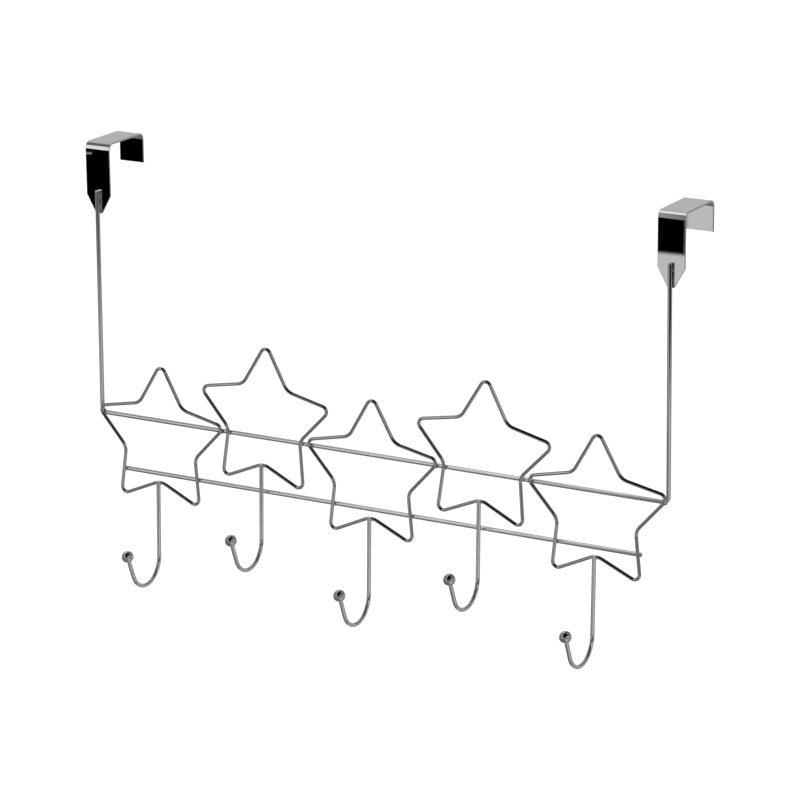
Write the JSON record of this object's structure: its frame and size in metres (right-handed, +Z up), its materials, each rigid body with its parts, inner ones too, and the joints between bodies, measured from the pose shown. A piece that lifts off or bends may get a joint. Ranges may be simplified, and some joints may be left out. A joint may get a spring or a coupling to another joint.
{
  "type": "over door hook",
  "caption": "Chromed over-door hook rack: folded brackets carry a bent-wire frame, a row of star outlines in round wire, and a ball-ended hook below each star.",
  "frame": {"origin": "middle of the top front edge of the door that the rack hangs on, midway between the brackets", "axes": "+X along the door towards the viewer's right as seen from the room, -Y out from the door into the room, +Z up"},
  "size_m": [0.4684, 0.0995, 0.3152],
  "materials": {
    "chromed_strip": "polished",
    "chromed_bar_wire": "polished",
    "chromed_star_wire": "polished",
    "chromed_hook_wire": "polished",
    "chromed_ball": "polished"
  },
  "bodies": {
    "root": {"bracket_left": "chromed_strip", "bracket_right": "chromed_strip", "hanging_frame": "chromed_bar_wire", "lower_bar": "chromed_bar_wire", "star_far_left": "chromed_star_wire", "hook_far_left": "chromed_hook_wire", "ball_far_left": "chromed_ball", "star_left": "chromed_star_wire", "hook_left": "chromed_hook_wire", "ball_left": "chromed_ball", "star_centre": "chromed_star_wire", "hook_centre": "chromed_hook_wire", "ball_centre": "chromed_ball", "star_right": "chromed_star_wire", "hook_right": "chromed_hook_wire", "ball_right": "chromed_ball", "star_far_right": "chromed_star_wire", "hook_far_right": "chromed_hook_wire", "ball_far_right": "chromed_ball"}
  },
  "joints": []
}
